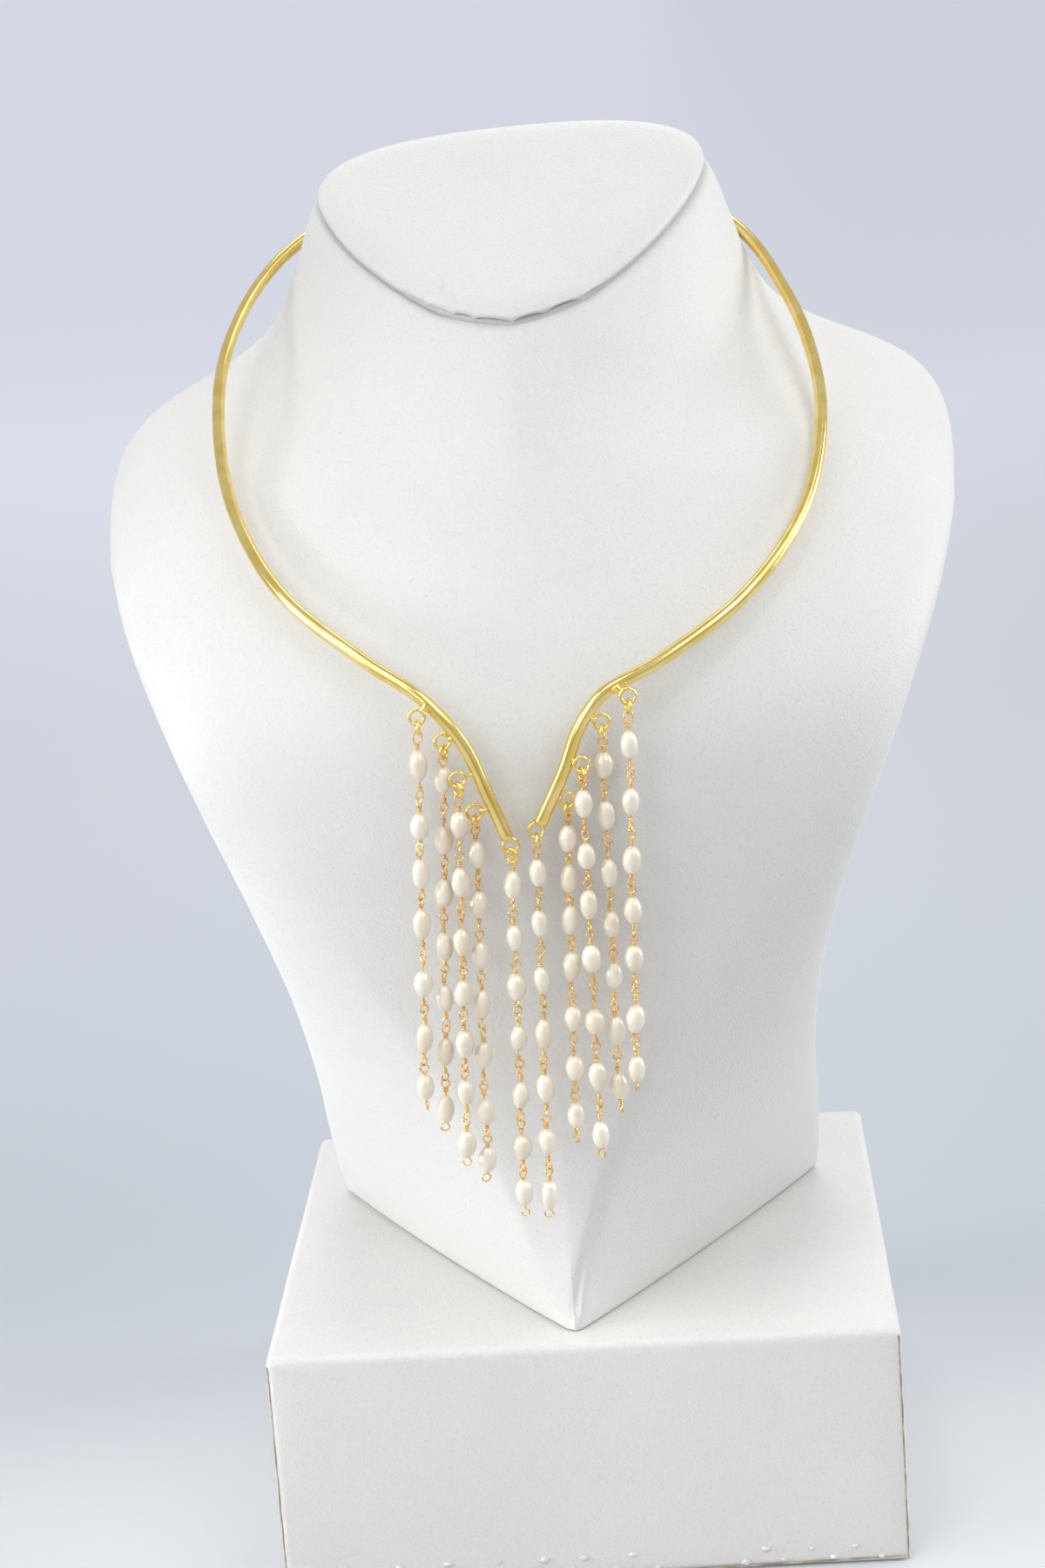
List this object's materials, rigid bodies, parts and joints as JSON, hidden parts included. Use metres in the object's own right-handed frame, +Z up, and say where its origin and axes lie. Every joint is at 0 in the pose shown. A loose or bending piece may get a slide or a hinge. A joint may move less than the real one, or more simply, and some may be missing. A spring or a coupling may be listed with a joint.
{
  "type": "hasli necklace on neck bust",
  "caption": "Rigid gold-plated hasli collar with a fringe of wire-linked rice pearl strands, worn on a white leatherette neck bust that stands on a low riser block.",
  "frame": {"origin": "middle of the whole part's outer box, at the level of the riser block's underside", "axes": "+Z up along the height, -Y the wearer's front where the pearl fringe hangs, +X to the right as seen from the front"},
  "size_m": [0.2088, 0.1608, 0.3353],
  "materials": {
    "riser_leatherette": "off-white embossed leatherette wrapped over a board block, soft satin sheen, fine pebble grain",
    "bust_leatherette": "off-white embossed leatherette stretched over a moulded form, soft satin sheen, fine pebble grain",
    "collar_gold": "polished bright yellow gold plating on round brass wire, with small solder fillets at the eyelets",
    "link_gold": "bright orange-toned gold plating on thin wire loops and wraps",
    "pearl": "cream rice pearls with satin lustre and soft bright highlight; thin gold wire links run between them"
  },
  "bodies": {
    "root": {"riser_block": "riser_leatherette", "bust_body": "bust_leatherette", "neck_cap": "bust_leatherette", "collar": "collar_gold", "jump_ring_01": "link_gold", "jump_ring_02": "link_gold", "jump_ring_03": "link_gold", "jump_ring_04": "link_gold", "jump_ring_05": "link_gold", "jump_ring_06": "link_gold", "jump_ring_07": "link_gold", "jump_ring_08": "link_gold", "jump_ring_09": "link_gold", "jump_ring_10": "link_gold", "pearl_strand_01": "pearl", "pearl_strand_02": "pearl", "pearl_strand_03": "pearl", "pearl_strand_04": "pearl", "pearl_strand_05": "pearl", "pearl_strand_06": "pearl", "pearl_strand_07": "pearl", "pearl_strand_08": "pearl", "pearl_strand_09": "pearl", "pearl_strand_10": "pearl"}
  },
  "joints": []
}
